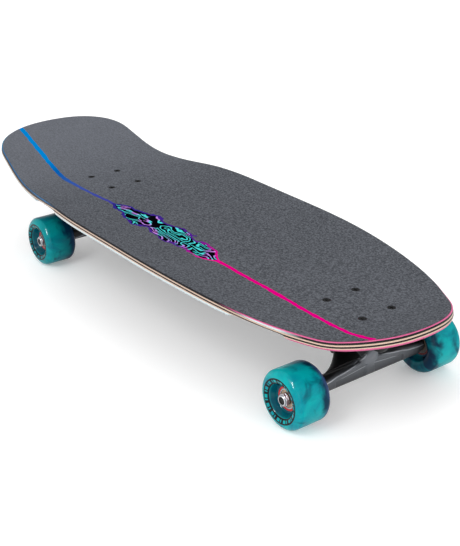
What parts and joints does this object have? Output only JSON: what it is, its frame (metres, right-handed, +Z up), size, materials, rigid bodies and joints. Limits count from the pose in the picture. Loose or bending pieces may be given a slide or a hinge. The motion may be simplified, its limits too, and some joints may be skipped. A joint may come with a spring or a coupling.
{
  "type": "cruiser skateboard",
  "caption": "Cruiser skateboard with a wide laminated deck, kicked tail, grip sheet, kingpin trucks that steer on bushings, and soft cored wheels.",
  "frame": {"origin": "on the ground, under the middle of the board", "axes": "+X runs from the tail to the nose, +Y to the rider's left when facing the nose, +Z up out of the riding surface"},
  "size_m": [0.7666, 0.267, 0.1436],
  "materials": {
    "maple": "lacquered ply edge with stained veneers",
    "grip": "gritty, dark grey, with a painted stripe",
    "riser": "matte black",
    "baseplate": "black powder coat",
    "hanger": "dark grey, satin",
    "steel": "bright zinc",
    "black_steel": "black oxide",
    "bushing": "black urethane",
    "urethane": "teal urethane with dark swirls, glossy",
    "core": "red moulded core",
    "bearing": "polished steel with a copper tint"
  },
  "bodies": {
    "board": {"deck": "maple", "griptape": "grip", "front_riser": "riser", "front_baseplate": "baseplate", "front_pivot_cup": "bushing", "front_kingpin": "black_steel", "front_kingpin_nut": "steel", "front_bushing_upper": "bushing", "front_bushing_lower": "bushing", "front_washer_upper": "black_steel", "front_washer_lower": "black_steel", "front_bolt_1": "black_steel", "front_bolt_2": "black_steel", "front_bolt_3": "black_steel", "front_bolt_4": "black_steel", "front_bolt_nut_1": "black_steel", "front_bolt_nut_2": "black_steel", "front_bolt_nut_3": "black_steel", "front_bolt_nut_4": "black_steel", "rear_riser": "riser", "rear_baseplate": "baseplate", "rear_pivot_cup": "bushing", "rear_kingpin": "black_steel", "rear_kingpin_nut": "steel", "rear_bushing_upper": "bushing", "rear_bushing_lower": "bushing", "rear_washer_upper": "black_steel", "rear_washer_lower": "black_steel", "rear_bolt_1": "black_steel", "rear_bolt_2": "black_steel", "rear_bolt_3": "black_steel", "rear_bolt_4": "black_steel", "rear_bolt_nut_1": "black_steel", "rear_bolt_nut_2": "black_steel", "rear_bolt_nut_3": "black_steel", "rear_bolt_nut_4": "black_steel"},
    "front_swing": {"front_hanger": "hanger", "front_axle": "black_steel", "axle_nut_front_left": "steel", "axle_nut_front_right": "steel"},
    "rear_swing": {"rear_hanger": "hanger", "rear_axle": "black_steel", "axle_nut_rear_left": "steel", "axle_nut_rear_right": "steel"},
    "front_left_roller": {"wheel_front_left": "urethane", "core_front_left": "core", "bearing_front_left_outer": "bearing", "bearing_front_left_inner": "bearing"},
    "front_right_roller": {"wheel_front_right": "urethane", "core_front_right": "core", "bearing_front_right_outer": "bearing", "bearing_front_right_inner": "bearing"},
    "rear_left_roller": {"wheel_rear_left": "urethane", "core_rear_left": "core", "bearing_rear_left_outer": "bearing", "bearing_rear_left_inner": "bearing"},
    "rear_right_roller": {"wheel_rear_right": "urethane", "core_rear_right": "core", "bearing_rear_right_outer": "bearing", "bearing_rear_right_inner": "bearing"}
  },
  "joints": [
    {"name": "front_steer", "type": "hinge", "parent": "board", "child": "front_swing", "pos_m": [0.31728, 0, 0.06942], "axis": [0.8988, 0, 0.4384], "range_deg": [-12, 12], "stiffness_Nm_per_rad": 40, "deforming": ["front_bushing_upper", "front_bushing_lower"]},
    {"name": "rear_steer", "type": "hinge", "parent": "board", "child": "rear_swing", "pos_m": [-0.2325, 0, 0.06942], "axis": [-0.8988, 0, 0.4384], "range_deg": [-12, 12], "stiffness_Nm_per_rad": 40, "deforming": ["rear_bushing_upper", "rear_bushing_lower"]},
    {"name": "front_left_spin", "type": "hinge", "parent": "front_swing", "child": "front_left_roller", "pos_m": [0.29883, 0.0955, 0.0325], "axis": [0, 1, 0], "continuous": true},
    {"name": "front_right_spin", "type": "hinge", "parent": "front_swing", "child": "front_right_roller", "pos_m": [0.29883, -0.0955, 0.0325], "axis": [0, 1, 0], "continuous": true},
    {"name": "rear_left_spin", "type": "hinge", "parent": "rear_swing", "child": "rear_left_roller", "pos_m": [-0.21405, 0.0955, 0.0325], "axis": [0, 1, 0], "continuous": true},
    {"name": "rear_right_spin", "type": "hinge", "parent": "rear_swing", "child": "rear_right_roller", "pos_m": [-0.21405, -0.0955, 0.0325], "axis": [0, 1, 0], "continuous": true}
  ]
}
